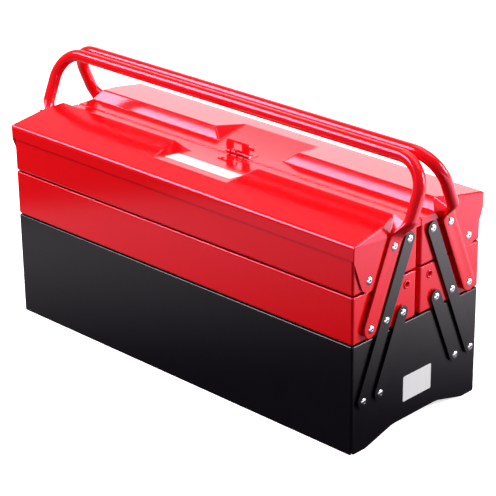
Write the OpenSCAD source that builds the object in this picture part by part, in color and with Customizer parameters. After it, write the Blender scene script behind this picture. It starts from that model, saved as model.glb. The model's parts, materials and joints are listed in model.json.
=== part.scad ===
// Cantilever tool box: a base, four trays on swinging arms, two lids and two bow handles.
// X runs along the box, the front is -Y, Z is up, and the origin is the middle of the footprint.

/* [Box] */
// Length of the base and of every tray
box_len = 500; // [420:10:600]
// Depth of the base, front to back
box_depth = 194; // [184:1:210]
// Height of the base
base_h = 118; // [110:1:128]
// Height of one tray, with the gap above it
tray_pitch = 52; // [50:0.5:56]
// Thickness of the sheet
sheet = 1; // [0.8:0.1:1.2]
// Radius of the upright corners
corner_r = 3; // [2.5:0.5:5]
// Height of the folded rim
hem_h = 7; // [4:1:9]
// Height of the arch under each end wall
arch_h = 11; // [6:1:14]

/* [Arms] */
// Distance between two pivots of an arm
arm_seg = 83; // [80:0.5:86]
// Lean of every arm when the box is shut, in degrees
arm_lean = 23.3; // [21:0.1:25]
// Distance between neighbouring arms
arm_pitch = 25; // [24:0.5:26]
// Width of an arm
arm_w = 15; // [12:0.5:16]
// Thickness of an arm
arm_t = 2; // [1.5:0.1:2.5]
// Distance of the lowest long arm pivot in from the base's front
arm_in = 13.5; // [12:0.5:15]
// Height of the arm pivots on the base
arm_z = 55.8; // [54:0.2:58]

/* [Lids] */
// Height of the lid's outer edge
lid_edge_z = 224; // [223:0.5:226]
// Rise from the outer edge to the crest
crest_rise = 11.5; // [8:0.5:13]
// Distance of the crest from the seam
crest_y = 30; // [27:1:34]
// Distance of the foot of the crest's steep side from the seam
crest_foot_y = 20.5; // [19:0.5:22]
// Height of the lid's outer skirt
skirt_h = 15; // [13:0.5:16]

/* [Handles] */
// Diameter of the handle tube
tube_d = 13; // [11:0.5:14]
// Distance of the grip from the lower pivot, along the leg
grip_s = 168.5; // [164:0.5:176]
// Radius of the handle's bends
bend_r = 33; // [28:1:40]
// Width of the flattened leg
leg_w = 18.4; // [16:0.2:19]

/* [Hidden] */
$fn = 48;

red = [0.86, 0.05, 0.08];
black = [0.10, 0.09, 0.11];
zinc = [0.82, 0.82, 0.85];
paper = [0.95, 0.95, 0.95];

half_len = box_len / 2;
half_depth = box_depth / 2;
gap = 0.3;                          // between a tray and what it stands on
floor_z = arch_h + 1;               // underside of the base's floor
mid_z0 = base_h + gap;
mid_z1 = base_h + tray_pitch - 0.1;
upper_z0 = base_h + tray_pitch + 0.2;
upper_z1 = lid_edge_z - 5;          // outer and end walls of an upper tray
upper_inner_z1 = lid_edge_z - 10.5; // wall beside the seam, clear of the swinging lid
tray_y = 2.6;                       // from the seam to a tray's inner wall

// Pivots on the front half, as [y, z]
seg_y = arm_seg * sin(arm_lean);
seg_z = arm_seg * cos(arm_lean);
long_0 = [-half_depth + arm_in, arm_z];
long_1 = long_0 + [seg_y, seg_z];
long_2 = long_1 + [seg_y, seg_z];
short_0 = long_0 + [arm_pitch, 0];
short_1 = long_1 + [arm_pitch, 0];
leg_0 = long_1 - [arm_pitch, 0];
leg_1 = leg_0 + [seg_y, seg_z];
lid_pivot = [-75.8, 182.6];

// Layers outward from the end walls
clear = 0.05;
lid_in = half_len + 1;
lid_out = lid_in + sheet;
arm_x = half_len + 1.2;
leg_x = lid_out + 0.4;
leg_t = 2.6;

// Rivets
shank_r = 2;
bore_r = shank_r + clear;
head_r = 4.1;
head_h = 1.3;
tail_r = 3;
tail_h = 1.6;
core_r = 1.1;
washer_r = 4.8;

// Lid outline
lid_y = half_depth + 1.5;
lid_seam = 0.8;
crest_z = lid_edge_z + crest_rise;
crest_end_x = lid_out - 10;
ridge_gap_x = 61.5;                 // the crest stops here, beside the latch valley
toe_in_x = 46.5;
toe_out_x = 54;
toe_y = 70;
gable_y = 59;                       // the end plate rises with the slope up to here
notch = [-47, lid_edge_z - 5.5];    // then drops to a notch beside the handle
slope = crest_rise / (lid_y - crest_y);
toe_z = crest_z - (toe_y - crest_y) * slope;
gable_z = crest_z - (gable_y - crest_y) * slope;
gusset_r = 12;
flange_h = 7.5;

// Handle
leg_end_s = arm_seg + 8;
tube_s = 112;
leg_x_mid = leg_x + leg_t / 2;
tube_x = half_len + 15;

// Hasp
hasp_w = 34;
hasp_h = 14;
hasp_t = 1.2;
hinge_y = 3;
hinge_z = lid_edge_z + 2.3;
knuckle_r = 2;
pin_r = 1;
centre_knuckle = 11.4;
slot_from = 4.4;
slot_to = 11.2;
staple_y = hinge_y - 7.2;
wire_r = 1;

// ---------- shared shapes ----------

// Flat rectangle with round corners, from corner a to corner b
module rounded(a, b, r) {
    translate([a[0] + r, a[1]]) square([b[0] - a[0] - 2 * r, b[1] - a[1]]);
    translate([a[0], a[1] + r]) square([b[0] - a[0], b[1] - a[1] - 2 * r]);
    for (x = [a[0] + r, b[0] - r], y = [a[1] + r, b[1] - r])
        translate([x, y]) circle(r);
}

// Upright prism of that rectangle, pulled in by inset
module prism(y0, y1, z0, z1, inset) {
    r = max(corner_r - inset, 0.5);
    translate([0, 0, z0]) linear_extrude(z1 - z0)
        rounded([-half_len + inset, y0 + inset], [half_len - inset, y1 - inset], r);
}

// Open box with a folded rim on the inside of its walls
module open_box(y0, y1, z0, z1) {
    difference() {
        prism(y0, y1, z0, z1, 0);
        prism(y0, y1, z0 + sheet, z1 - hem_h, sheet);
        prism(y0, y1, z1 - hem_h - 1, z1 + 1, 2 * sheet);
    }
}

// Children on the front half, or mirrored to the back half
module half(side) {
    if (side == "back") mirror([0, 1, 0]) children();
    else children();
}

// Children drawn for the right end, repeated at the left end
module both_ends() {
    children();
    mirror([1, 0, 0]) children();
}

// Cylinder along X from x0 to x1, at p = [y, z]
module rod_x(x0, x1, p, r) {
    translate([x0, p[0], p[1]]) rotate([0, 90, 0]) cylinder(h = x1 - x0, r = r);
}

// Holes through both end walls
module end_bores(points) {
    both_ends() for (p = points) rod_x(half_len - 4, half_len + 4, p, bore_r);
}

// Blind rivet at the right end: domed head beyond x_head, tail inside the end wall
module rivet(p, x_head) {
    x_tail = half_len - sheet;
    x_top = x_head + head_h;
    translate([0, p[0], p[1]]) rotate([0, 90, 0]) rotate_extrude() polygon([
        [0, x_tail - tail_h], [tail_r, x_tail - tail_h], [tail_r, x_tail],
        [shank_r, x_tail], [shank_r, x_head], [head_r, x_head], [head_r, x_head + 0.4],
        [head_r - 0.7, x_top - 0.35], [head_r - 1.8, x_top], [core_r, x_top],
        [core_r, x_head - 1], [0, x_head - 1]
    ]);
}

// Spacer ring between an end wall and the part that turns on the rivet
module washer(p, x1) {
    difference() {
        rod_x(half_len, x1 - clear, p, washer_r);
        rod_x(half_len - 1, x1 + 1, p, bore_r);
    }
}

// ---------- base ----------

module base_box() {
    foot_y = 76;
    arch_y = 34;
    foot_r = 5;
    color(black) difference() {
        prism(-half_depth, half_depth, 0, base_h, 0);
        prism(-half_depth, half_depth, floor_z + sheet, base_h - hem_h, sheet);
        prism(-half_depth, half_depth, base_h - hem_h - 1, base_h + 1, 2 * sheet);
        prism(-half_depth, half_depth, -1, floor_z, sheet);
        // arched lower edge of the end walls
        translate([-half_len - 1, 0, 0]) rotate([90, 0, 90]) linear_extrude(box_len + 2)
            polygon([[-foot_y, -1], [-foot_y, 0], [-arch_y, arch_h], [arch_y, arch_h],
                     [foot_y, 0], [foot_y, -1]]);
        // round lower corners of the end walls
        for (m = [0, 1], n = [0, 1]) mirror([m, 0, 0]) mirror([0, n, 0])
            translate([half_len - 1.5, half_depth, 0]) rotate([0, 90, 0])
                linear_extrude(3) difference() {
                    translate([-foot_r, -foot_r]) square(foot_r + 1);
                    translate([-foot_r, -foot_r]) circle(foot_r);
                }
        for (side = ["front", "back"]) half(side) end_bores([long_0, short_0]);
    }
}

module base_rivets() {
    color(zinc) for (side = ["front", "back"]) half(side)
        both_ends() for (p = [long_0, short_0]) rivet(p, arm_x + arm_t + clear);
}

module base_washers() {
    color(zinc) for (side = ["front", "back"]) half(side)
        both_ends() for (p = [long_0, short_0]) washer(p, arm_x);
}

// Blank paper label on the right end of the base
module end_label() {
    color(paper) translate([half_len, -19.5, 30]) cube([0.2, 43.5, 28]);
}

// ---------- trays ----------

module mid_tray() {
    punch = [-17.5, 158.9];
    punch_r = 4;
    color(red) difference() {
        union() {
            open_box(-half_depth, -tray_y, mid_z0, mid_z1);
            both_ends() rod_x(half_len, half_len + 0.8, punch, punch_r);
        }
        both_ends() rod_x(half_len - 3, half_len + 2, punch, 1.6);
        end_bores([long_1, short_1, leg_0]);
    }
}

module mid_rivets() {
    color(zinc) both_ends() {
        rivet(long_1, arm_x + arm_t + clear);
        rivet(short_1, arm_x + arm_t + clear);
        rivet(leg_0, leg_x + leg_t + clear);
    }
}

module mid_washers() {
    color(zinc) both_ends() {
        washer(long_1, arm_x);
        washer(short_1, arm_x);
        washer(leg_0, leg_x);
    }
}

module upper_tray() {
    seam_cut = 3 * sheet;
    color(red) difference() {
        open_box(-half_depth, -tray_y, upper_z0, upper_z1);
        // the wall beside the seam is lower
        translate([-half_len + seam_cut, -tray_y - seam_cut, upper_inner_z1])
            cube([box_len - 2 * seam_cut, seam_cut + 1, upper_z1]);
        end_bores([long_2, leg_1, lid_pivot]);
    }
}

module upper_rivets() {
    color(zinc) both_ends() {
        rivet(long_2, arm_x + arm_t + clear);
        rivet(leg_1, leg_x + leg_t + clear);
    }
}

module upper_washers() {
    color(zinc) both_ends() {
        washer(long_2, arm_x);
        washer(leg_1, leg_x);
        washer(lid_pivot, lid_in);
    }
}

module lid_pivot_rivets() {
    color(zinc) both_ends() rivet(lid_pivot, lid_out + clear);
}

// ---------- lids ----------

// The pressed top sheet: its upper corners, then the same ones a sheet lower
module lid_top() {
    right = [
        [lid_out, -lid_y, lid_edge_z],
        [crest_end_x, -crest_y, crest_z],
        [lid_out, -crest_foot_y, lid_edge_z],
        [lid_out, -lid_seam, lid_edge_z],
        [ridge_gap_x, -crest_y, crest_z],
        [toe_in_x, -crest_foot_y, lid_edge_z],
        [toe_out_x, -toe_y, toe_z],
        [lid_out, -gable_y, gable_z],
        [lid_out, notch[0], notch[1]]
    ];
    left = [for (p = right) [-p[0], p[1], p[2]]];
    top = concat(right, left);
    n = len(top);
    k = len(right);
    flats = [
        [0, k, k + 6, 6], [6, 4, 1, 7, 0],                          // long slope
        [k + 6, k, k + 7, k + 1, k + 4],
        [6, k + 6, k + 5, 5],                                       // valley floor
        [k + 3, 3, 2, 5, k + 5, k + 2],                             // strip beside the seam
        [1, 4, 5, 2], [k + 1, k + 2, k + 5, k + 4],                 // steep side of each ridge
        [4, 6, 5], [k + 4, k + 5, k + 6],                           // ramps down to the valley
        [7, 1, 8], [8, 1, 2], [k + 7, k + 8, k + 1], [k + 8, k + 2, k + 1]  // end hollows
    ];
    faces = [for (f = flats) for (i = [1:len(f) - 2]) [f[0], f[i], f[i + 1]]];
    rim = [0, 7, 8, 2, 3, k + 3, k + 2, k + 8, k + 7, k];
    under = [for (f = faces) [f[2] + n, f[1] + n, f[0] + n]];
    sides = [for (i = [0:len(rim) - 1]) let (a = rim[i], b = rim[(i + 1) % len(rim)])
        for (f = [[a, b, b + n], [a, b + n, a + n]]) f];
    polyhedron(points = concat(top, [for (p = top) p - [0, 0, sheet]]),
               faces = concat(faces, under, sides), convexity = 8);
}

// End plate: a flange that reaches the seam, and the gusset round the pivot
module lid_end() {
    up = [sin(arm_lean), cos(arm_lean)];
    inner = lid_pivot + gusset_r * [up[1], -up[0]];
    reach = (lid_edge_z - flange_h - inner[1]) / up[1];
    shoulder = inner + reach * up;
    outer = lid_pivot - gusset_r * [cos(24), sin(24)];
    top_z = lid_edge_z - sheet / 2;
    translate([lid_in, 0, 0]) rotate([90, 0, 90]) linear_extrude(sheet) {
        polygon([
            [-lid_y, top_z], [-lid_y, lid_edge_z - skirt_h], outer, inner, shoulder,
            [-lid_seam, lid_edge_z - flange_h], [-lid_seam, top_z],
            [-crest_foot_y, top_z], [notch[0], notch[1] - sheet / 2],
            [-gable_y, gable_z - sheet / 2]
        ]);
        translate(lid_pivot) circle(gusset_r);
    }
}

module lid() {
    seam_half = half_len - 4;
    color(red) difference() {
        union() {
            lid_top();
            both_ends() lid_end();
            translate([-lid_out, -lid_y, lid_edge_z - skirt_h])
                cube([2 * lid_out, sheet, skirt_h - sheet / 2]);
            translate([-seam_half, -lid_seam - sheet, lid_edge_z - 10])
                cube([2 * seam_half, sheet, 10 - sheet / 2]);
        }
        both_ends() rod_x(lid_in - 1, lid_out + 1, lid_pivot, bore_r);
    }
}

// Blank paper label on the valley floor of the front lid
module lid_label() {
    tilt = atan((toe_z - lid_edge_z) / (toe_y - crest_foot_y));
    color(paper) translate([0, -crest_foot_y, lid_edge_z]) rotate([-tilt, 0, 0])
        translate([-48, -38, 0.02]) cube([96, 20, 0.25]);
}

// ---------- arms and handles ----------

// Flat bar from pivot a over a given number of segments, with a bore at each pivot
module arm(a, segments) {
    color(black) difference() {
        translate([arm_x, a[0], a[1]]) rotate([-arm_lean, 0, 0])
            rotate([90, 0, 90]) linear_extrude(arm_t) {
                translate([-arm_w / 2, 0]) square([arm_w, segments * arm_seg]);
                for (s = [0, segments * arm_seg]) translate([0, s]) circle(arm_w / 2);
            }
        for (i = [0:segments])
            rod_x(arm_x - 1, arm_x + arm_t + 1, a + i * [seg_y, seg_z], bore_r);
    }
}

// Flattened lower end of a handle leg: local Z runs up the leg from the lower pivot
module leg_flat() {
    difference() {
        translate([leg_x, 0, 0]) rotate([90, 0, 90]) linear_extrude(leg_t) {
            translate([-leg_w / 2, 0]) square([leg_w, leg_end_s]);
            circle(leg_w / 2);
        }
        for (s = [0, arm_seg]) rod_x(leg_x - 1, leg_x + leg_t + 1, [0, s], bore_r);
    }
}

module bow() {
    tube_r = tube_d / 2;
    both_ends() {
        leg_flat();
        hull() {
            translate([leg_x, -leg_w / 2, leg_end_s - 1]) cube([leg_t, leg_w, 1]);
            translate([tube_x, 0, tube_s - 0.5]) cylinder(h = 0.5, r = tube_r, $fn = 32);
        }
        translate([tube_x, 0, tube_s - 0.5])
            cylinder(h = grip_s - bend_r - tube_s + 0.5, r = tube_r);
        translate([tube_x - bend_r, 0, grip_s - bend_r]) rotate([90, 0, 0])
            rotate_extrude(angle = 90) translate([bend_r, 0]) circle(tube_r);
    }
    rod_x(bend_r - tube_x, tube_x - bend_r, [0, grip_s], tube_r);
}

module handle() {
    color(red) translate([0, leg_0[0], leg_0[1]]) rotate([-arm_lean, 0, 0]) bow();
}

// ---------- latch ----------

// Knuckle of the hasp hinge between x0 and x1
module knuckle(x0, x1) {
    difference() {
        rod_x(x0, x1, [hinge_y, hinge_z], knuckle_r);
        rod_x(x0 - 1, x1 + 1, [hinge_y, hinge_z], pin_r + clear);
    }
}

module hasp_leaf() {
    inner = centre_knuckle / 2 + 0.3;
    color(red) difference() {
        union() {
            for (m = [0, 1]) mirror([m, 0, 0]) {
                knuckle(inner, hasp_w / 2);
                translate([inner, hinge_y + 1.3, lid_edge_z])
                    cube([hasp_w / 2 - inner, 2, 2.3]);
            }
            translate([-hasp_w / 2, hinge_y + 2.3, lid_edge_z]) cube([hasp_w, 11, sheet]);
        }
        for (x = [-11, 11]) translate([x, 11.5, lid_edge_z - 1]) cylinder(h = 4, r = 1.3);
    }
}

// Two small rivets through a lid's strip at x = +-along, with heads at z
module small_rivets(along, y, z) {
    color(red) for (x = [-along, along]) translate([x, y, 0]) {
        translate([0, 0, z]) cylinder(h = 0.8, r = 2);
        translate([0, 0, lid_edge_z]) cylinder(h = z - lid_edge_z, r = 1.25);
    }
}

module hasp_rivets() { small_rivets(11, 11.5, lid_edge_z + sheet); }

module staple_rivets() { small_rivets(6.5, -13.5, lid_edge_z + sheet); }

module hasp_pin() {
    color(zinc) rod_x(-hasp_w / 2 - 0.5, hasp_w / 2 + 0.5, [hinge_y, hinge_z], pin_r);
}

// Flap, standing up, with the slot that drops over the staple and a thumb tab
module hasp_flap() {
    clear_z = hinge_z + knuckle_r + 0.3;
    top_z = hinge_z + hasp_h;
    round_r = 4;
    half_k = centre_knuckle / 2;
    color(red) {
        knuckle(-half_k, half_k);
        difference() {
            translate([0, hinge_y + hasp_t / 2, 0]) rotate([90, 0, 0])
                linear_extrude(hasp_t) {
                    rounded([-hasp_w / 2, clear_z], [hasp_w / 2, top_z], round_r);
                    translate([-hasp_w / 2, clear_z]) square([hasp_w, round_r]);
                    translate([-half_k, hinge_z + pin_r + 0.4])
                        square([centre_knuckle, knuckle_r + 1]);
                    translate([hasp_w / 2 - 1, hinge_z + 8]) square([7.5, 3.5]);
                }
            translate([-6, 0, hinge_z + slot_from])
                cube([12, 2 * hinge_y, slot_to - slot_from]);
        }
    }
}

// Wire loop on a riveted plate
module staple() {
    loop_r = 5;
    loop_z = lid_edge_z + 4.1;
    color(red) {
        difference() {
            translate([-11, -16.5, lid_edge_z]) cube([22, 14.3, sheet]);
            for (x = [-6.5, 6.5]) translate([x, -13.5, lid_edge_z - 1])
                cylinder(h = 4, r = 1.3);
        }
        for (x = [-loop_r, loop_r]) translate([x, staple_y, lid_edge_z + sheet / 2])
            cylinder(h = loop_z - lid_edge_z - sheet / 2, r = wire_r);
        translate([0, staple_y, loop_z]) rotate([90, 0, 0])
            rotate_extrude(angle = 180) translate([loop_r, 0]) circle(wire_r);
    }
}

// ---------- nodes ----------

base_box();
base_rivets();
base_washers();
end_label();
mid_tray();  // mid_tray_front
mid_rivets();  // mid_rivets_front
mid_washers();  // mid_washers_front
upper_tray();  // upper_tray_front
upper_rivets();  // upper_rivets_front
upper_washers();  // upper_washers_front
lid();  // lid_front
lid_pivot_rivets();  // lid_pivot_rivets_front
lid_label();
staple();
staple_rivets();
arm(long_0, 2);  // long_arm_front_right
mirror([1, 0, 0]) arm(long_0, 2);  // long_arm_front_left
arm(short_0, 1);  // short_arm_front_right
mirror([1, 0, 0]) arm(short_0, 1);  // short_arm_front_left
handle();  // handle_front
half("back") mid_tray();  // mid_tray_back
half("back") mid_rivets();  // mid_rivets_back
half("back") mid_washers();  // mid_washers_back
half("back") upper_tray();  // upper_tray_back
half("back") upper_rivets();  // upper_rivets_back
half("back") upper_washers();  // upper_washers_back
half("back") lid();  // lid_back
half("back") lid_pivot_rivets();  // lid_pivot_rivets_back
hasp_leaf();
hasp_rivets();
hasp_pin();
hasp_flap();
half("back") arm(long_0, 2);  // long_arm_back_right
mirror([1, 0, 0]) half("back") arm(long_0, 2);  // long_arm_back_left
half("back") arm(short_0, 1);  // short_arm_back_right
mirror([1, 0, 0]) half("back") arm(short_0, 1);  // short_arm_back_left
half("back") handle();  // handle_back
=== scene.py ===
import json
import math

import bmesh
import bpy
from mathutils import Matrix, Vector


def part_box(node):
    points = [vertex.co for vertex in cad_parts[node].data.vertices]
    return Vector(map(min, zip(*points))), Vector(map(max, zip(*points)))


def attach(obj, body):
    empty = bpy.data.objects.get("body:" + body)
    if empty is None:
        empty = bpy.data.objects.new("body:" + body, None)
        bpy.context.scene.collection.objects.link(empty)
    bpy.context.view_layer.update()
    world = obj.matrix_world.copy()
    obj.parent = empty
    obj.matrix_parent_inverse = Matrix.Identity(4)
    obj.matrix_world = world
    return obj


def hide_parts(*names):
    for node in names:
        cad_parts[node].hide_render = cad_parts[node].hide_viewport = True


# A cantilever tool box: a black base, four red trays on swinging arms, two peaked lids,
# two bow handles and a hasp. Lengths below are in millimetres and turned into metres by MM.

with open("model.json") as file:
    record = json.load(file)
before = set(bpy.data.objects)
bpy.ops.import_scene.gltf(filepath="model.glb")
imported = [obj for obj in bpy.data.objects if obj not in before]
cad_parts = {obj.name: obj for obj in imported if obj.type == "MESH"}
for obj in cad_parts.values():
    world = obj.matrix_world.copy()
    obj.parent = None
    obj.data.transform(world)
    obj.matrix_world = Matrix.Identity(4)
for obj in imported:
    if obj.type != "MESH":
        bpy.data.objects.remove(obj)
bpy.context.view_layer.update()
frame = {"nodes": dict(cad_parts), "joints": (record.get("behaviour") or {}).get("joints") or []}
MM = 0.001
SIDES = ("front", "back")
OUT = {"front": -1, "back": 1}          # the way each half opens along Y
pivot = {j["name"]: Vector(j["pos_m"]) / MM for j in frame["joints"] if "pos_m" in j}


def cad_box(node):
    """Lowest and highest corner of a CAD node, in millimetres."""
    low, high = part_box(node)
    return low / MM, high / MM


base_low, base_high = cad_box("base_box")
HALF_LEN = base_high.x
SHEET = 1.0            # gauge of the folded sheet; its walls are drawn at WALL
WALL = 0.9
CORNER = 3.0           # radius of a box's upright corners
FOLD = 3.0             # radius of the fold round its floor
SEAM = 0.8             # extra gap under each tray
HEM_DEPTH = 7.0        # the rim: how far the doubled sheet comes down,
HEM_STEP = 2.3         # how far in it stands,
HEM_ROUND = 1.1        # and the radius over its top
FLOOR_UNDER = 12.0     # the base's raised floor, and how high its upturned edge is
FLOOR_LIP = 12.0
BORE = 2.05            # radius of the holes that the rivets go through
LID_EDGE = 224.0       # height of a lid's outer fold
LEAST_FOLD = math.radians(7.5)    # a lid's folds gentler than this stay crisp


# ---------------------------------------------------------------- modelling helpers

def activate(obj):
    """Make obj the only selected object, in object mode."""
    if bpy.context.object and bpy.context.object.mode != "OBJECT":
        bpy.ops.object.mode_set(mode="OBJECT")
    bpy.ops.object.select_all(action="DESELECT")
    obj.select_set(True)
    bpy.context.view_layer.objects.active = obj


def settle(obj, name):
    """Name the object and put its place into its mesh."""
    activate(obj)
    bpy.ops.object.transform_apply(location=True, rotation=True, scale=True)
    obj.name = name
    obj.data.name = name
    return obj


def add_block(name, low, high):
    """A box between two corners, in millimetres."""
    low, high = Vector(low) * MM, Vector(high) * MM
    bpy.ops.object.select_all(action="DESELECT")
    bpy.ops.mesh.primitive_cube_add(size=1, location=(low + high) / 2)
    obj = bpy.context.object
    obj.scale = high - low
    return settle(obj, name)


def add_rod(name, start, end, radius, sides=32):
    """A cylinder from one point to another, in millimetres."""
    start, end = Vector(start) * MM, Vector(end) * MM
    along = end - start
    bpy.ops.object.select_all(action="DESELECT")
    bpy.ops.mesh.primitive_cylinder_add(vertices=sides, radius=radius * MM, depth=along.length,
                                        location=(start + end) / 2)
    obj = bpy.context.object
    obj.rotation_mode = "QUATERNION"
    obj.rotation_quaternion = along.to_track_quat("Z", "Y")
    return settle(obj, name)


def start_edit(obj):
    """Open obj's mesh for editing, with nothing selected."""
    activate(obj)
    bpy.ops.object.mode_set(mode="EDIT")
    bpy.ops.mesh.select_all(action="DESELECT")


def choose(obj, kind, test):
    """Select the parts of the mesh that pass test, which is given a vertex's place, an edge's
    middle and direction, or a face's middle and normal."""
    bpy.ops.mesh.select_mode(type=kind)
    bpy.ops.mesh.select_all(action="DESELECT")
    mesh = bmesh.from_edit_mesh(obj.data)
    if kind == "VERT":
        for vert in mesh.verts:
            vert.select_set(test(vert.co / MM))
    elif kind == "EDGE":
        for edge in mesh.edges:
            first, second = edge.verts[0].co / MM, edge.verts[1].co / MM
            edge.select_set(test((first + second) / 2, (second - first)))
    else:
        for face in mesh.faces:
            face.select_set(test(face.calc_center_median() / MM, face.normal))
    mesh.select_flush_mode()
    bmesh.update_edit_mesh(obj.data)


def end_edit():
    """Close the mesh again."""
    bpy.ops.object.mode_set(mode="OBJECT")


def apply_modifier(obj, kind, **settings):
    """Put a modifier's result into the mesh."""
    activate(obj)
    modifier = obj.modifiers.new(kind.lower(), kind)
    for key, value in settings.items():
        setattr(modifier, key, value)
    bpy.ops.object.modifier_apply(modifier=modifier.name)


def cut(obj, *cutters):
    """Take the cutters' shapes out of obj, and delete them."""
    for cutter in cutters:
        apply_modifier(obj, "BOOLEAN", operation="DIFFERENCE", solver="EXACT", object=cutter)
        bpy.data.objects.remove(cutter)


def join(name, parts):
    """One object from several."""
    activate(parts[0])
    for part in parts:
        part.select_set(True)
    if len(parts) > 1:
        bpy.ops.object.join()
    return settle(bpy.context.object, name)


def clean(obj):
    """Merge doubles and turn all faces outwards."""
    start_edit(obj)
    bpy.ops.mesh.select_all(action="SELECT")
    bpy.ops.mesh.remove_doubles(threshold=1e-6)
    bpy.ops.mesh.normals_make_consistent(inside=False)
    end_edit()


def twin(obj, name, across):
    """A mirrored copy with its own mesh, across the X or Y plane."""
    copy = obj.copy()
    copy.data = obj.data.copy()
    bpy.context.collection.objects.link(copy)
    flip = Vector((-1, 1, 1)) if across == "X" else Vector((1, -1, 1))
    copy.data.transform(Matrix.Diagonal(flip).to_4x4())
    settle(copy, name)
    clean(copy)
    return copy


def mesh_object(name, points, faces, edges=()):
    """An object from points in millimetres and the faces or edges between them."""
    mesh = bpy.data.meshes.new(name)
    mesh.from_pydata([Vector(p) * MM for p in points], edges, faces)
    obj = bpy.data.objects.new(name, mesh)
    bpy.context.collection.objects.link(obj)
    return obj


def smooth(obj, angle=40, weighted=True):
    """Shade smooth except over edges sharper than angle, and keep flat faces flat."""
    activate(obj)
    bpy.ops.object.shade_smooth_by_angle(angle=math.radians(angle))
    if weighted:
        apply_modifier(obj, "WEIGHTED_NORMAL", mode="FACE_AREA", weight=50, keep_sharp=True)


def finish_piece(obj, body, material, slot, *nodes):
    """Paint the piece, hang it on its body and let it stand in for its CAD nodes."""
    obj.data.materials.clear()
    obj.data.materials.append(material)
    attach(obj, body)
    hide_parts(*nodes)


def round_corners(obj, axis, radius):
    """Round the edges along axis, then ease the rest a little."""
    start_edit(obj)
    choose(obj, "EDGE", lambda mid, along: abs(getattr(along, axis)) > 0.9 * along.length)
    bpy.ops.mesh.bevel(offset=radius * MM, segments=5, affect="EDGES")
    bpy.ops.mesh.select_all(action="SELECT")
    bpy.ops.mesh.normals_make_consistent(inside=False)
    end_edit()
    apply_modifier(obj, "BEVEL", width=0.06 * MM, segments=2, limit_method="ANGLE",
                   angle_limit=math.radians(50))
    smooth(obj)


# ---------------------------------------------------------------- materials

def new_group(name, inputs, outputs):
    """An empty node group with float or colour sockets, and its input and output nodes."""
    group = bpy.data.node_groups.new(name, "ShaderNodeTree")
    kinds = {"float": "NodeSocketFloat", "colour": "NodeSocketColor"}
    for label, kind in inputs:
        group.interface.new_socket(label, in_out="INPUT", socket_type=kinds[kind])
    for label, kind in outputs:
        group.interface.new_socket(label, in_out="OUTPUT", socket_type=kinds[kind])
    return group, group.nodes.new("NodeGroupInput"), group.nodes.new("NodeGroupOutput")


def noise(tree, scale, detail, roughness=0.5, stretch=None):
    """Noise on object coordinates, optionally stretched along an axis."""
    coordinates = tree.nodes.new("ShaderNodeTexCoord").outputs["Object"]
    if stretch:
        mapping = tree.nodes.new("ShaderNodeMapping")
        mapping.inputs["Scale"].default_value = stretch
        tree.links.new(coordinates, mapping.inputs["Vector"])
        coordinates = mapping.outputs["Vector"]
    texture = tree.nodes.new("ShaderNodeTexNoise")
    texture.inputs["Scale"].default_value = scale
    texture.inputs["Detail"].default_value = detail
    texture.inputs["Roughness"].default_value = roughness
    tree.links.new(coordinates, texture.inputs["Vector"])
    return texture.outputs["Fac"]


def math_node(tree, operation, first, second):
    """The output of a Math node fed with numbers or sockets."""
    node = tree.nodes.new("ShaderNodeMath")
    node.operation = operation
    for socket, value in zip(node.inputs, (first, second)):
        if isinstance(value, (int, float)):
            socket.default_value = value
        else:
            tree.links.new(value, socket)
    return node.outputs[0]


def centred(tree, value, amount):
    """A texture's 0 to 1 turned into plus or minus half of amount."""
    return math_node(tree, "MULTIPLY", math_node(tree, "SUBTRACT", value, 0.5), amount)


def tinted(tree, colour, shade):
    """colour brightened or darkened by 1 + shade."""
    node = tree.nodes.new("ShaderNodeVectorMath")
    node.operation = "SCALE"
    tree.links.new(colour, node.inputs[0])
    tree.links.new(math_node(tree, "ADD", shade, 1.0), node.inputs["Scale"])
    return node.outputs[0]


def make_coating_group():
    """Stoved enamel on sheet: faint tone drift, slow panel ripple and fine orange peel."""
    broad_scale, cloud_scale, peel_scale, ripple_scale = 7, 45, 420, 9
    group, given, out = new_group(
        "stoved_enamel",
        [("Colour", "colour"), ("Tone drift", "float"), ("Roughness", "float"),
         ("Roughness drift", "float"), ("Peel", "float"), ("Ripple", "float")],
        [("Colour", "colour"), ("Roughness", "float"), ("Height", "float")])
    broad = noise(group, broad_scale, 3)
    cloudy = noise(group, cloud_scale, 4, 0.6)
    shade = math_node(group, "ADD", centred(group, broad, given.outputs["Tone drift"]),
                      math_node(group, "MULTIPLY",
                                centred(group, cloudy, given.outputs["Tone drift"]), 0.5))
    group.links.new(tinted(group, given.outputs["Colour"], shade), out.inputs["Colour"])
    rough = math_node(group, "ADD", given.outputs["Roughness"],
                      centred(group, cloudy, given.outputs["Roughness drift"]))
    group.links.new(rough, out.inputs["Roughness"])
    peel = centred(group, noise(group, peel_scale, 2), given.outputs["Peel"])
    ripple = centred(group, noise(group, ripple_scale, 1), given.outputs["Ripple"])
    group.links.new(math_node(group, "ADD", peel, ripple), out.inputs["Height"])
    return group


def make_plating_group():
    """Bright zinc plate: cloudy passivation and fine drawing lines."""
    cloud_scale, line_scale, line_stretch, roughness_drift = 240, 900, (1, 1, 0.15), 0.16
    group, given, out = new_group(
        "zinc_plating",
        [("Colour", "colour"), ("Clouding", "float"), ("Roughness", "float"),
         ("Lines", "float")],
        [("Colour", "colour"), ("Roughness", "float"), ("Height", "float")])
    cloud = noise(group, cloud_scale, 4, 0.6)
    lines = noise(group, line_scale, 3, 0.6, stretch=line_stretch)
    group.links.new(
        tinted(group, given.outputs["Colour"],
               centred(group, cloud, given.outputs["Clouding"])), out.inputs["Colour"])
    rough = math_node(group, "ADD", given.outputs["Roughness"],
                      centred(group, cloud, roughness_drift))
    group.links.new(rough, out.inputs["Roughness"])
    group.links.new(centred(group, lines, given.outputs["Lines"]), out.inputs["Height"])
    return group


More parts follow.
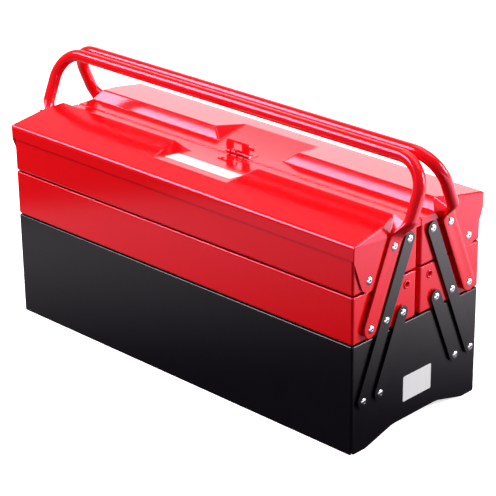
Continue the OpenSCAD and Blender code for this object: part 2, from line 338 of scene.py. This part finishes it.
def make_material(name, group, values, metallic=0.0, glint=(1, 1, 1, 1)):
    """A Principled material whose colour, roughness and bump come from a group."""
    material = bpy.data.materials.new(name)
    material.use_nodes = True
    tree = material.node_tree
    shader = tree.nodes["Principled BSDF"]
    shader.inputs["Metallic"].default_value = metallic
    shader.inputs["Specular Tint"].default_value = glint
    surface = tree.nodes.new("ShaderNodeGroup")
    surface.node_tree = group
    for label, value in values.items():
        surface.inputs[label].default_value = value
    bump = tree.nodes.new("ShaderNodeBump")
    bump.inputs["Strength"].default_value = 1.0
    bump.inputs["Distance"].default_value = MM
    tree.links.new(surface.outputs["Height"], bump.inputs["Height"])
    tree.links.new(surface.outputs["Colour"], shader.inputs["Base Color"])
    tree.links.new(surface.outputs["Roughness"], shader.inputs["Roughness"])
    tree.links.new(bump.outputs["Normal"], shader.inputs["Normal"])
    return material


coating = make_coating_group()
plating = make_plating_group()
red_enamel = make_material(
    "red_enamel", coating,
    {"Colour": (0.80, 0.0022, 0.0050, 1), "Tone drift": 0.10, "Roughness": 0.13,
     "Roughness drift": 0.05, "Peel": 0.003, "Ripple": 0.22}, glint=(1.0, 0.60, 0.95, 1))
black_enamel = make_material(
    "black_enamel", coating,
    {"Colour": (0.0060, 0.0045, 0.0075, 1), "Tone drift": 0.30, "Roughness": 0.24,
     "Roughness drift": 0.08, "Peel": 0.004, "Ripple": 0.20})
zinc_plate = make_material(
    "zinc_plate", plating,
    {"Colour": (0.66, 0.66, 0.68, 1), "Clouding": 0.20, "Roughness": 0.17, "Lines": 0.002},
    metallic=1.0)
label_film = make_material(
    "label_film", coating,
    {"Colour": (0.74, 0.73, 0.75, 1), "Tone drift": 0.05, "Roughness": 0.38,
     "Roughness drift": 0.10, "Peel": 0.004, "Ripple": 0.0})

# CAD solids: each gets its paint, and those that stay in sight get eased edges
EASED = 0.22

for node, cad_object in frame["nodes"].items():
    if node.startswith(("staple", "hasp")) and node != "hasp_pin":
        paint = red_enamel
    elif any(word in node for word in ("rivet", "washer", "pin")):
        paint = zinc_plate
    elif "label" in node:
        paint = label_film
    elif "arm" in node or "base" in node:
        paint = black_enamel
    else:
        paint = red_enamel
    cad_object.data.materials.clear()
    cad_object.data.materials.append(paint)
    if node.startswith(("staple", "hasp")) or "washer" in node:
        ease = cad_object.modifiers.new("ease", "BEVEL")
        ease.width, ease.segments, ease.limit_method = EASED * MM, 2, "ANGLE"
        ease.angle_limit = math.radians(40)
        ease.harden_normals = True


# ---------------------------------------------------------------- folded sheet boxes

def folded_box(name, low, high, corner=CORNER, hem=HEM_DEPTH, floor=True):
    """An open sheet box: round upright corners, a folded lower edge and a doubled rim."""
    obj = add_block(name, low, high)
    start_edit(obj)
    choose(obj, "EDGE", lambda mid, along: abs(along.z) > 1)
    bpy.ops.mesh.bevel(offset=corner * MM, segments=5, affect="EDGES")
    if floor:
        choose(obj, "EDGE", lambda mid, along: mid.z < low[2] + 0.01)
        bpy.ops.mesh.bevel(offset=FOLD * MM, segments=4, affect="EDGES")
    else:
        choose(obj, "FACE", lambda mid, normal: normal.z < -0.9)
        bpy.ops.mesh.delete(type="FACE")
    choose(obj, "FACE", lambda mid, normal: normal.z > 0.9)
    if hem:
        bpy.ops.mesh.inset(thickness=HEM_STEP * MM, depth=0)
        bpy.ops.mesh.extrude_region_move(
            TRANSFORM_OT_translate={"value": (0, 0, -hem * MM)})
    bpy.ops.mesh.delete(type="FACE")
    if hem:
        choose(obj, "EDGE", lambda mid, along: mid.z > high[2] - 0.01 and abs(along.z) < 0.01
               and runs_round(mid, along, low, high))
        bpy.ops.mesh.bevel(offset=HEM_ROUND * MM, segments=4, affect="EDGES")
    end_edit()
    apply_modifier(obj, "SOLIDIFY", thickness=WALL * MM, offset=-1)
    return obj


def runs_round(mid, along, low, high):
    """True for edges that run round the rim, and not across it."""
    def depth(point):
        return min(point.x - low[0], high[0] - point.x, point.y - low[1], high[1] - point.y)
    change = abs(depth(mid + along / 2) - depth(mid - along / 2))
    return change < HEM_STEP / 2 or along.length > 4


def make_base():
    """Walls with an arch under each end and rounded feet, and the raised floor."""
    walls = folded_box("base_walls", base_low, base_high, floor=False)
    foot, shoulder, rise, reach, below = 76, 35, 11, HALF_LEN + 5, -5
    arch = [(-foot, below), (-foot, 0), (-shoulder - 2, rise - 0.6), (-shoulder + 4, rise)]
    arch += [(-y, z) for y, z in reversed(arch)]
    count = len(arch)
    cutter = mesh_object("arch", [(x, y, z) for x in (-reach, reach) for y, z in arch],
                         [tuple(range(count)), tuple(range(2 * count - 1, count - 1, -1))]
                         + [(i, count + i, count + (i + 1) % count, (i + 1) % count)
                            for i in range(count)])
    clean(cutter)
    cut(walls, cutter)
    toe, half_x, half_y = 5, 1.6, 8        # radius of the rounded feet, and the cutter's size
    for end in (-1, 1):
        for side in (-1, 1):
            x, y = end * HALF_LEN, side * base_high.y
            block = add_block("block", (x - half_x, y + side * 3 - half_y, -11),
                              (x + half_x, y + side * 3 + half_y, toe))
            cut(block, add_rod("round", (x - 4, y - side * toe, toe),
                               (x + 4, y - side * toe, toe), toe, 48))
            cut(walls, block)
    smooth(walls)
    finish_piece(walls, "base", black_enamel, "black_enamel", "base_box")

    floor = folded_box("base_floor", (base_low.x + SHEET, base_low.y + SHEET, FLOOR_UNDER),
                       (base_high.x - SHEET, base_high.y - SHEET, FLOOR_UNDER + FLOOR_LIP),
                       corner=CORNER - SHEET, hem=0)
    smooth(floor)
    finish_piece(floor, "base", black_enamel, "black_enamel", "base_box")


def end_hole(y, z, radius):
    """Cutters for a hole through both ends."""
    return [add_rod("drill", (end * (HALF_LEN - 6), y, z), (end * (HALF_LEN + 6), y, z),
                    radius, 24) for end in (-1, 1)]


def lathe(name, profile, steps=32):
    """A turned solid about the X axis, from (x, radius) points."""
    obj = mesh_object(name, [(x, 0, r) for x, r in profile], [],
                      [(i, i + 1) for i in range(len(profile) - 1)])
    start_edit(obj)
    bpy.ops.mesh.select_all(action="SELECT")
    bpy.ops.mesh.spin(steps=steps, angle=2 * math.pi, center=(0, 0, 0), axis=(1, 0, 0))
    end_edit()
    clean(obj)
    return obj


def placed(obj, name, spots):
    """Copies of obj at each (x, y, z); a negative x turns the copy to face the other end."""
    parts = []
    for spot in spots:
        part = obj.copy()
        part.data = obj.data.copy()
        bpy.context.collection.objects.link(part)
        if spot[0] < 0:
            part.data.transform(Matrix.Rotation(math.pi, 4, "Z"))
        part.data.transform(Matrix.Translation(Vector(spot) * MM))
        parts.append(part)
    return join(name, parts)


def make_trays():
    """Two tiers on each side; a punched ring in each middle tray's end, and a lower wall beside
    the seam on each upper tray."""
    punch = lathe("punch", [(-0.6, 5.2), (0.15, 5.0), (0.75, 4.4), (1.05, 3.7), (0.95, 3.2),
                            (0.1, 2.4), (-0.7, 2.0), (-1.6, 1.9), (-1.6, 2.5), (-1.0, 3.2),
                            (-1.0, 5.2), (-0.6, 5.2)])
    punch_y, punch_z, punch_bed = 17.5, 158.9, 4.8
    wall_top, gap_end, gap_half = 213.5, 4.6, 6
    for side in SIDES:
        out = OUT[side]
        for tier in ("mid", "upper"):
            node = f"{tier}_tray_{side}"
            low, high = cad_box(node)
            low.x, high.x = -HALF_LEN, HALF_LEN
            low.z += SEAM
            tray = folded_box(node + "_shell", low, high)
            if tier == "mid":
                y = punch_y * out
                cut(tray, *end_hole(y, punch_z, punch_bed))
                rims = placed(punch, "rims", [(HALF_LEN, y, punch_z), (-HALF_LEN, y, punch_z)])
                tray = join(node + "_shell", [tray, rims])
            else:
                seam = low.y if out > 0 else high.y
                top = cad_box("lid_front")[1].z
                gap = add_block("gap", (-HALF_LEN + gap_end, seam - gap_half, wall_top),
                                (HALF_LEN - gap_end, seam + gap_half, top))
                cut(tray, gap)
            smooth(tray)
            finish_piece(tray, f"{tier}_{side}", red_enamel, "red_enamel", node)
    bpy.data.objects.remove(punch)


# ---------------------------------------------------------------- arms, handles, rivets

leg_foot = pivot["front_handle_swing"]
arm_foot = pivot["front_open"]
arm_knee = pivot["front_mid_tray_level"]
reach = Vector((0, arm_knee.y - arm_foot.y, arm_knee.z - arm_foot.z))
SEGMENT = reach.length            # from one pivot of an arm to the next
UP_ARM = reach.normalized()
ACROSS_ARM = Vector((0, UP_ARM.z, -UP_ARM.y))
ARM_WIDTH = 15.0
LEG_IN, LEG_OUT = 252.4, 255.0    # the layer of the handles' flat legs
TUBE_R = 6.5


def make_bar(name, foot, low_x, high_x, length, bores):
    """A flat bar with round ends and eased edges, for the right end of the front half."""
    bpy.ops.object.select_all(action="DESELECT")
    bpy.ops.mesh.primitive_circle_add(vertices=48, radius=ARM_WIDTH / 2 * MM,
                                      fill_type="NGON")
    obj = bpy.context.object
    start_edit(obj)
    choose(obj, "VERT", lambda at: at.y > 0.01)
    bpy.ops.transform.translate(value=(0, length * MM, 0))
    bpy.ops.mesh.select_all(action="SELECT")
    bpy.ops.mesh.extrude_region_move(
        TRANSFORM_OT_translate={"value": (0, 0, (high_x - low_x) * MM)})
    choose(obj, "EDGE", lambda mid, along: abs(along.z) < 0.01)
    bpy.ops.mesh.bevel(offset=0.4 * MM, segments=3, affect="EDGES")
    end_edit()
    turn = Matrix((ACROSS_ARM, UP_ARM, Vector((1, 0, 0)))).transposed().to_4x4()
    obj.data.transform(turn)
    obj.data.transform(Matrix.Translation(Vector((low_x, foot.y, foot.z)) * MM))
    settle(obj, name)
    clean(obj)
    for at in bores:
        centre = foot + UP_ARM * at
        cut(obj, add_rod("drill", (low_x - 3, centre.y, centre.z),
                         (high_x + 3, centre.y, centre.z), BORE, 24))
    return obj


def make_arms():
    """Long and short arms, made once each and mirrored to the other three places."""
    low, high = cad_box("long_arm_front_right")
    for kind, foot, count in (("long_arm", arm_foot, 2),
                              ("short_arm", pivot["front_short_arm_right"], 1)):
        bar = make_bar(kind, foot, low.x, high.x, SEGMENT * count,
                       [SEGMENT * i for i in range(count + 1)])
        smooth(bar, 30)
        pieces = {("front", "right"): bar}
        pieces["front", "left"] = twin(bar, "bar", "X")
        pieces["back", "right"] = twin(bar, "bar", "Y")
        pieces["back", "left"] = twin(pieces["back", "right"], "bar", "X")
        for (side, end), piece in pieces.items():
            node = f"{kind}_{side}_{end}"
            piece.name = node + "_bar"
            if piece is not bar:
                smooth(piece, 30)
            finish_piece(piece, node, black_enamel, "black_enamel", node)


def blend_step(value, start, end):
    """0 before start, 1 after end, and a smooth way between."""
    t = min(max((value - start) / (end - start), 0), 1)
    return t * t * (3 - 2 * t)


def handle_sections():
    """Stations along one leg and half the grip: centre x, distance up the leg, turn of the
    section, half width, half thickness, squareness and depth of the pressed groove."""
    flat_x, tube_x = (LEG_IN + LEG_OUT) / 2, HALF_LEN + 15
    half_width, half_leg, bend_r, grip = 9.2, (LEG_OUT - LEG_IN) / 2, 33.0, 168.5
    spots = [-half_width * math.cos(math.radians(a)) for a in range(6, 90, 12)]
    spots += [0, 4, 20, 50, 78, 88] + [91 + 1.5 * i for i in range(1, 15)] + [120, 128]
    rows = []
    for s in spots:
        width = math.sqrt(max(half_width ** 2 - min(s, 0) ** 2, 0.2))
        rows.append((flat_x + (tube_x - flat_x) * blend_step(s, 90, 112), s, 0.0,
                     width + (TUBE_R - width) * blend_step(s, 92, 111),
                     half_leg + (TUBE_R - half_leg) * blend_step(s, 89, 112),
                     5 - 3 * blend_step(s, 88, 106),
                     0.4 * blend_step(s, 2, 8) * (1 - blend_step(s, 84, 96))))
    bend_s, steps = grip - bend_r, 16
    for i in range(steps + 1):
        turn = math.pi / 2 * i / steps
        rows.append((tube_x - bend_r + bend_r * math.cos(turn), bend_s + bend_r * math.sin(turn),
                     turn, TUBE_R, TUBE_R, 2.0, 0.0))
    return rows


def make_handle():
    """A bow: rings of points up one leg, over the grip and down the other leg."""
    around = 40
    right = handle_sections()
    left = [(-x, s, math.pi - turn, a, b, k, g) for x, s, turn, a, b, k, g in reversed(right)]
    points, faces = [], []
    for x, s, turn, a, b, k, groove in right + left:
        centre = Vector((x, leg_foot.y, leg_foot.z)) + UP_ARM * s
        outward = Vector((math.cos(turn), 0, 0)) + UP_ARM * math.sin(turn)
        for i in range(around):
            t = 2 * math.pi * i / around
            c, d = math.cos(t), math.sin(t)
            across = a * math.copysign(abs(c) ** (2 / k), c)
            through = b * math.copysign(abs(d) ** (2 / k), d)
            dish = groove * (1 - blend_step(abs(across), 1.5, 4.5))
            through -= math.copysign(dish, through) if abs(through) > 0.5 * b else 0
            points.append(centre + ACROSS_ARM * across + outward * through)
    rings = len(points) // around
    for r in range(rings - 1):
        for i in range(around):
            j = (i + 1) % around
            faces.append((r * around + i, r * around + j, (r + 1) * around + j,
                          (r + 1) * around + i))
    faces.append(tuple(range(around)))
    faces.append(tuple(range((rings - 1) * around, rings * around)))
    obj = mesh_object("handle_front_tube", points, faces)
    clean(obj)
    for at in (0, SEGMENT):
        centre = leg_foot + UP_ARM * at
        cut(obj, *end_hole(centre.y, centre.z, BORE))
    smooth(obj, 35)
    other = twin(obj, "handle_back_tube", "Y")
    smooth(other, 35)
    finish_piece(obj, "handle_front", red_enamel, "red_enamel", "handle_front")
    finish_piece(other, "handle_back", red_enamel, "red_enamel", "handle_back")


def make_rivets():
    """Blind rivets: a domed head with the mandrel hole, a shank and a swelled tail."""
    head_r, core_r, shank_r, play = 4.1, 1.2, 2.0, 0.05
    arm_top, leg_top = cad_box("long_arm_front_right")[1].x + play, LEG_OUT + play
    lid_top = cad_box("lid_front")[1].x + play
    inside = HALF_LEN - SHEET
    spots = {
        "base_rivets": ("base", arm_top, ["front_open", "front_short_arm_right"]),
        "mid_rivets": ("mid", arm_top, ["front_mid_tray_level", "short_top"]),
        "mid_leg": ("mid", leg_top, ["front_handle_swing"]),
        "upper_rivets": ("upper", arm_top, ["front_upper_tray_level"]),
        "upper_leg": ("upper", leg_top, ["leg_top"]),
        "lid_pivot_rivets": ("upper", lid_top, ["front_lid"]),
    }
    pivot["short_top"] = pivot["front_short_arm_right"] + UP_ARM * SEGMENT
    pivot["leg_top"] = leg_foot + UP_ARM * SEGMENT
    made = {}
    for key, (body, top, names) in spots.items():
        grip = top - inside
        profile = [(-1.6, 0), (-1.6, 2.2), (-1.2, 2.9), (-0.4, 3.0), (0, 2.8), (0, shank_r),
                   (grip, shank_r), (grip, head_r - 0.1), (grip + 0.12, head_r),
                   (grip + 0.35, head_r - 0.08), (grip + 0.75, head_r - 0.75),
                   (grip + 1.08, head_r - 1.6), (grip + 1.26, core_r + 0.7),
                   (grip + 1.3, core_r + 0.25), (grip + 1.2, core_r),
                   (grip - 2.0, core_r), (grip - 2.2, 0)]
        rivet = lathe("rivet", profile)
        for side in SIDES:
            out = OUT[side]
            places = [(end * inside, -out * pivot[n].y, pivot[n].z)
                      for n in names for end in (1, -1)]
            made[key, side] = placed(rivet, f"{key}_{side}", places)
        bpy.data.objects.remove(rivet)
    base = join("base_rivet_set", [made["base_rivets", "front"], made["base_rivets", "back"]])
    smooth(base, 35, weighted=False)
    finish_piece(base, "base", zinc_plate, "zinc_plate", "base_rivets")
    for side in SIDES:
        mid = join(f"mid_rivet_set_{side}", [made["mid_rivets", side], made["mid_leg", side]])
        upper = join(f"upper_rivet_set_{side}",
                     [made["upper_rivets", side], made["upper_leg", side]])
        lid = join(f"lid_rivet_set_{side}", [made["lid_pivot_rivets", side]])
        for piece, body, node in ((mid, "mid", "mid_rivets"), (upper, "upper", "upper_rivets"),
                                  (lid, "upper", "lid_pivot_rivets")):
            smooth(piece, 35, weighted=False)
            finish_piece(piece, f"{body}_{side}", zinc_plate, "zinc_plate", f"{node}_{side}")


# ---------------------------------------------------------------- lids

def arc_points(centre, radius, first, last, steps):
    """(y, z) points on a circle, angles in degrees from +Y towards +Z."""
    return [(centre[0] + radius * math.cos(math.radians(first + (last - first) * i / steps)),
             centre[1] + radius * math.sin(math.radians(first + (last - first) * i / steps)))
            for i in range(steps + 1)]


def lid_outline():
    """Points of the right half of the front lid, by name."""
    low, high = cad_box("lid_front")
    edge_z, crest, skirt = LID_EDGE, high.z, 15
    crest_y, foot_y, gable_y, toe_y = -30, -20.5, -59, -70

    def roof(y):
        """Height of the slope between the outer fold and the crest."""
        return crest - (crest_y - y) * (crest - edge_z) / (crest_y - low.y)

    return {
        "corner": (high.x + 0.6, low.y, edge_z), "skirt": (high.x, low.y, edge_z - skirt),
        "crease": (high.x, low.y, edge_z - 6.5), "gable": (high.x - 1.2, gable_y, roof(gable_y)),
        "notch": (high.x, -47, edge_z - 5.5), "crest_end": (high.x - 10, crest_y, crest),
        "foot_end": (high.x, foot_y, edge_z), "seam": (high.x, high.y, edge_z),
        "seam_low": (high.x - 6, high.y, edge_z - 10), "crest_in": (61.5, crest_y, crest),
        "toe_in": (46.5, foot_y, edge_z), "toe_out": (54, toe_y, roof(toe_y)),
    }


def end_rim(hinge):
    """(y, z) points along the lower edge of a lid's end plate, from the seam to the gusset.
    The point where the crease meets it comes fifth."""
    flange_z, ease, gusset = 216.5, 5, 12
    inner = (hinge.y + gusset * UP_ARM.z, hinge.z - gusset * UP_ARM.y)
    rise = (flange_z - inner[1]) / UP_ARM.z
    shoulder = inner[0] + rise * UP_ARM.y
    rim = [(cad_box("lid_front")[1].y, flange_z), (shoulder + ease, flange_z),
           (shoulder + ease * 0.35, flange_z - ease * 0.12),
           (shoulder - ease * 0.05, flange_z - ease * 0.4),
           (shoulder - ease * UP_ARM.y, flange_z - ease * UP_ARM.z)]
    inner_angle = -math.degrees(math.asin(UP_ARM.y))
    return rim + arc_points((hinge.y, hinge.z), gusset, inner_angle, -156, 14)


def fold_width(mid):
    """How wide the fold with this middle is, as a share of the widest: full along the outer
    fold, tighter round the skirt's corners, and tightest where the gable's folds meet."""
    if mid.y < -97:
        return 1.0 if mid.z > LID_EDGE - 1 and abs(mid.x) < 1 else 0.3
    return 0.16 if abs(mid.x) > HALF_LEN - 7 and mid.y > -76 else 0.5


def make_lid():
    """The front lid as one folded sheet with its folds rounded, and its mirror at the back."""
    at = lid_outline()
    names = list(at)
    points = [at[n] for n in names] + [(-at[n][0], at[n][1], at[n][2]) for n in names]
    right = {n: i for i, n in enumerate(names)}
    left = {n: i + len(names) for i, n in enumerate(names)}
    one_side = [
        ("crest_end", "foot_end", "toe_in", "crest_in"), ("crest_in", "toe_in", "toe_out"),
        ("gable", "notch", "crest_end"), ("notch", "foot_end", "crest_end"),
        ("corner", "notch", "gable"),
    ]
    faces = [[side[n] for n in face] for side in (right, left) for face in one_side]
    slope = ("corner", "gable", "crest_end", "crest_in", "toe_out")
    faces += [[right[n] for n in slope] + [left[n] for n in reversed(slope)],
              [right["toe_out"], right["toe_in"], left["toe_in"], left["toe_out"]],
              [right["toe_in"], right["foot_end"], right["seam"], left["seam"],
               left["foot_end"], left["toe_in"]],
              [right["corner"], left["corner"], left["crease"], left["skirt"],
               right["skirt"], right["crease"]],
              [right["seam"], right["seam_low"], left["seam_low"], left["seam"]]]
    hinge = pivot["front_lid"]
    rim = end_rim(hinge)
    for side, sign in ((right, 1), (left, -1)):
        edge = list(range(len(points), len(points) + len(rim)))
        points += [(sign * at["skirt"][0], y, z) for y, z in rim]
        faces += [[side["notch"], side["foot_end"], side["seam"]] + edge[:5],
                  [side["corner"], side["notch"], edge[4], side["crease"]],
                  [side["crease"]] + edge[4:] + [side["skirt"]]]
    lid = mesh_object("lid_front_shell", points, faces)
    clean(lid)
    shell = bmesh.new()
    shell.from_mesh(lid.data)
    weight = shell.edges.layers.float.new("bevel_weight_edge")
    for edge in shell.edges:
        if len(edge.link_faces) == 2 and edge.calc_face_angle() > LEAST_FOLD:
            edge[weight] = fold_width((edge.verts[0].co + edge.verts[1].co) / 2 / MM)
    shell.to_mesh(lid.data)
    shell.free()
    widest_fold = 3.4
    apply_modifier(lid, "BEVEL", width=widest_fold * MM, segments=5, limit_method="WEIGHT",
                   use_clamp_overlap=False)
    start_edit(lid)
    bpy.ops.mesh.select_all(action="SELECT")
    bpy.ops.mesh.normals_make_consistent(inside=False)
    end_edit()
    top = max(lid.data.polygons, key=lambda f: f.area)
    if top.normal.z < 0:
        start_edit(lid)
        bpy.ops.mesh.select_all(action="SELECT")
        bpy.ops.mesh.flip_normals()
        end_edit()
    apply_modifier(lid, "SOLIDIFY", thickness=WALL * MM, offset=-1, use_quality_normals=True)
    cut(lid, *end_hole(hinge.y, hinge.z, BORE))
    smooth(lid, 50)
    other = twin(lid, "lid_back_shell", "Y")
    smooth(other, 50)
    finish_piece(lid, "cover_front", red_enamel, "red_enamel", "lid_front")
    finish_piece(other, "cover_back", red_enamel, "red_enamel", "lid_back")


def make_labels():
    """Plain labels with round corners, on the base's right end and in the front lid's valley."""
    at = lid_outline()
    corner, half_length = 1.6, 48
    near, far, under, over = -18, -38, 0.02, 0.27
    low, high = cad_box("end_label")
    plate = add_block("end_label_plate", low, high)
    round_corners(plate, "x", corner)
    finish_piece(plate, "base", label_film, "label_film", "end_label")
    toe_in, toe_out = Vector(at["toe_in"]), Vector(at["toe_out"])
    tilt = math.atan2(toe_out.z - toe_in.z, toe_in.y - toe_out.y)
    plate = add_block("lid_label_plate", (-half_length, far, under), (half_length, near, over))
    round_corners(plate, "z", corner)
    plate.data.transform(Matrix.Translation(Vector((0, toe_in.y, toe_in.z)) * MM)
                         @ Matrix.Rotation(-tilt, 4, "X"))
    finish_piece(plate, "cover_front", label_film, "label_film", "lid_label")


# ---------------------------------------------------------------- stage

# for each zone of the room: the way it lies, half angle in degrees, strength
BRIGHT_ZONES = [((-0.62, 0.76, 0.14), 34, 1.5), ((0.72, 0.66, 0.02), 34, 1.6)]
ROOM_GLOW = 0.20
# on the floor, as a painted reflection of a lit floor with painted shadow near the box: way from
# the middle, where the glow starts and is full (m), strength
FLOOR_GLOWS = [((-0.70, -0.71), 0.06, 0.52, 0.60), ((-0.80, -0.60), 0.52, 0.62, -0.56),
               ((0.70, 0.71), 0.16, 0.95, 3.2)]
# dim level of the painted floor reflection, which is all that is left near the box as painted
# shadow
FLOOR_GLOW = 0.02
FLOOR_SIZE = 14
PAPER_GLOW = 0.72


def add_light(name, place, aim, size, watts, colour=(1, 1, 1)):
    """A softbox at place, turned to aim."""
    data = bpy.data.lights.new(name, "AREA")
    data.shape = "RECTANGLE"
    data.size, data.size_y = size
    data.energy = watts
    data.color = colour
    lamp = bpy.data.objects.new(name, data)
    bpy.context.collection.objects.link(lamp)
    lamp.location = place
    lamp.rotation_mode = "QUATERNION"
    lamp.rotation_quaternion = (Vector(aim) - Vector(place)).to_track_quat("-Z", "Y")


def glow_along(tree, place, way, start, full, strength):
    """A glow that grows as place goes further along way, from start to full."""
    dot = tree.nodes.new("ShaderNodeVectorMath")
    dot.operation = "DOT_PRODUCT"
    tree.links.new(place, dot.inputs[0])
    dot.inputs[1].default_value = way
    ramp = tree.nodes.new("ShaderNodeMapRange")
    ramp.interpolation_type = "SMOOTHSTEP"
    ramp.inputs["From Min"].default_value = start
    ramp.inputs["From Max"].default_value = full
    ramp.inputs["To Max"].default_value = strength
    tree.links.new(dot.outputs["Value"], ramp.inputs["Value"])
    return ramp.outputs["Result"]


def make_world():
    """A dim room with two soft bright zones for the enamel to mirror."""
    world = bpy.data.worlds.new("studio")
    world.use_nodes = True
    tree = world.node_tree
    background = tree.nodes["Background"]
    background.inputs["Color"].default_value = (1, 0.96, 1, 1)
    heading = tree.nodes.new("ShaderNodeTexCoord").outputs["Generated"]
    total = ROOM_GLOW
    for direction, spread, glow in BRIGHT_ZONES:
        total = math_node(tree, "ADD", total,
                          glow_along(tree, heading, Vector(direction).normalized(),
                                     math.cos(math.radians(spread)), 1.0, glow))
    tree.links.new(total, background.inputs["Strength"])
    bpy.context.scene.world = world


def make_painted_floor_reflection():
    """A sheet on the floor that only mirrors see: a painted reflection of a lit floor in soft
    glows, darker near the box as painted shadow.
    """
    bpy.ops.mesh.primitive_plane_add(size=FLOOR_SIZE, location=(0, 0, -0.5 * MM))
    sheet = bpy.context.object
    sheet.name = "bounce"
    sheet.visible_camera = sheet.visible_diffuse = sheet.visible_shadow = False
    glow = bpy.data.materials.new("painted_floor_reflection_glow")
    glow.use_nodes = True
    tree = glow.node_tree
    shader = tree.nodes["Principled BSDF"]
    shader.inputs["Base Color"].default_value = (0, 0, 0, 1)
    shader.inputs["Specular IOR Level"].default_value = 0
    shader.inputs["Emission Color"].default_value = (1, 0.93, 1, 1)
    spot = tree.nodes.new("ShaderNodeTexCoord").outputs["Object"]
    # the glow paints the floor's reflection: low near the box as painted shadow, brighter to the
    # front left and the far back right
    total = FLOOR_GLOW
    for way, start, full, strength in FLOOR_GLOWS:
        total = math_node(tree, "ADD", total,
                          glow_along(tree, spot, (*way, 0), start, full, strength))
    tree.links.new(total, shader.inputs["Emission Strength"])
    sheet.data.materials.append(glow)


def make_stage():
    """A pale floor that mirrors don't see, the sheet with the painted floor reflection, the room
    and three softboxes.
    """
    bpy.ops.object.select_all(action="DESELECT")
    bpy.ops.mesh.primitive_plane_add(size=FLOOR_SIZE, location=(0, 0, 0))
    floor = bpy.context.object
    floor.name = "floor"
    floor.visible_glossy = floor.visible_diffuse = False
    paper = bpy.data.materials.new("floor_paper")
    paper.use_nodes = True
    shader = paper.node_tree.nodes["Principled BSDF"]
    shader.inputs["Base Color"].default_value = (0.93, 0.93, 0.93, 1)
    shader.inputs["Roughness"].default_value = 0.9
    shader.inputs["Specular IOR Level"].default_value = 0.1
    shader.inputs["Emission Color"].default_value = (1, 1, 1, 1)
    shader.inputs["Emission Strength"].default_value = PAPER_GLOW
    floor.data.materials.append(paper)
    make_painted_floor_reflection()
    make_world()
    add_light("overhead_softbox", (0.1, 0.6, 2.0), (0, 0, 0.1), (2.0, 1.4), 19)
    add_light("right_softbox", (1.5, 1.15, 1.0), (0.2, 0, 0.12), (0.8, 0.8), 37)
    add_light("front_softbox", (-1.05, -0.95, 1.35), (-0.1, 0, 0.15), (1.3, 0.8), 46,
              (1.0, 0.96, 1.0))
    bpy.context.scene.view_settings.view_transform = "Standard"


def make_camera():
    """A long lens, from the right and a little above."""
    azimuth, elevation, roll = math.radians(44.55), math.radians(23.32), math.radians(-0.68)
    back = Vector((math.sin(azimuth) * math.cos(elevation),
                   -math.cos(azimuth) * math.cos(elevation), math.sin(elevation)))
    data = bpy.data.cameras.new("camera")
    data.sensor_width = 36
    data.lens = 139.35
    data.clip_start, data.clip_end = 0.05, 50
    camera = bpy.data.objects.new("camera", data)
    bpy.context.collection.objects.link(camera)
    camera.location = (1.3379, -1.3430, 0.9358)
    camera.rotation_mode = "QUATERNION"
    turn = Matrix.Rotation(roll, 3, "Z")
    aim = (-back).to_track_quat("-Z", "Y").to_matrix()
    camera.rotation_quaternion = (aim @ turn).to_quaternion()
    bpy.context.scene.camera = camera


make_camera()
make_stage()
make_base()
make_trays()
make_lid()
make_labels()
make_arms()
make_handle()
make_rivets()
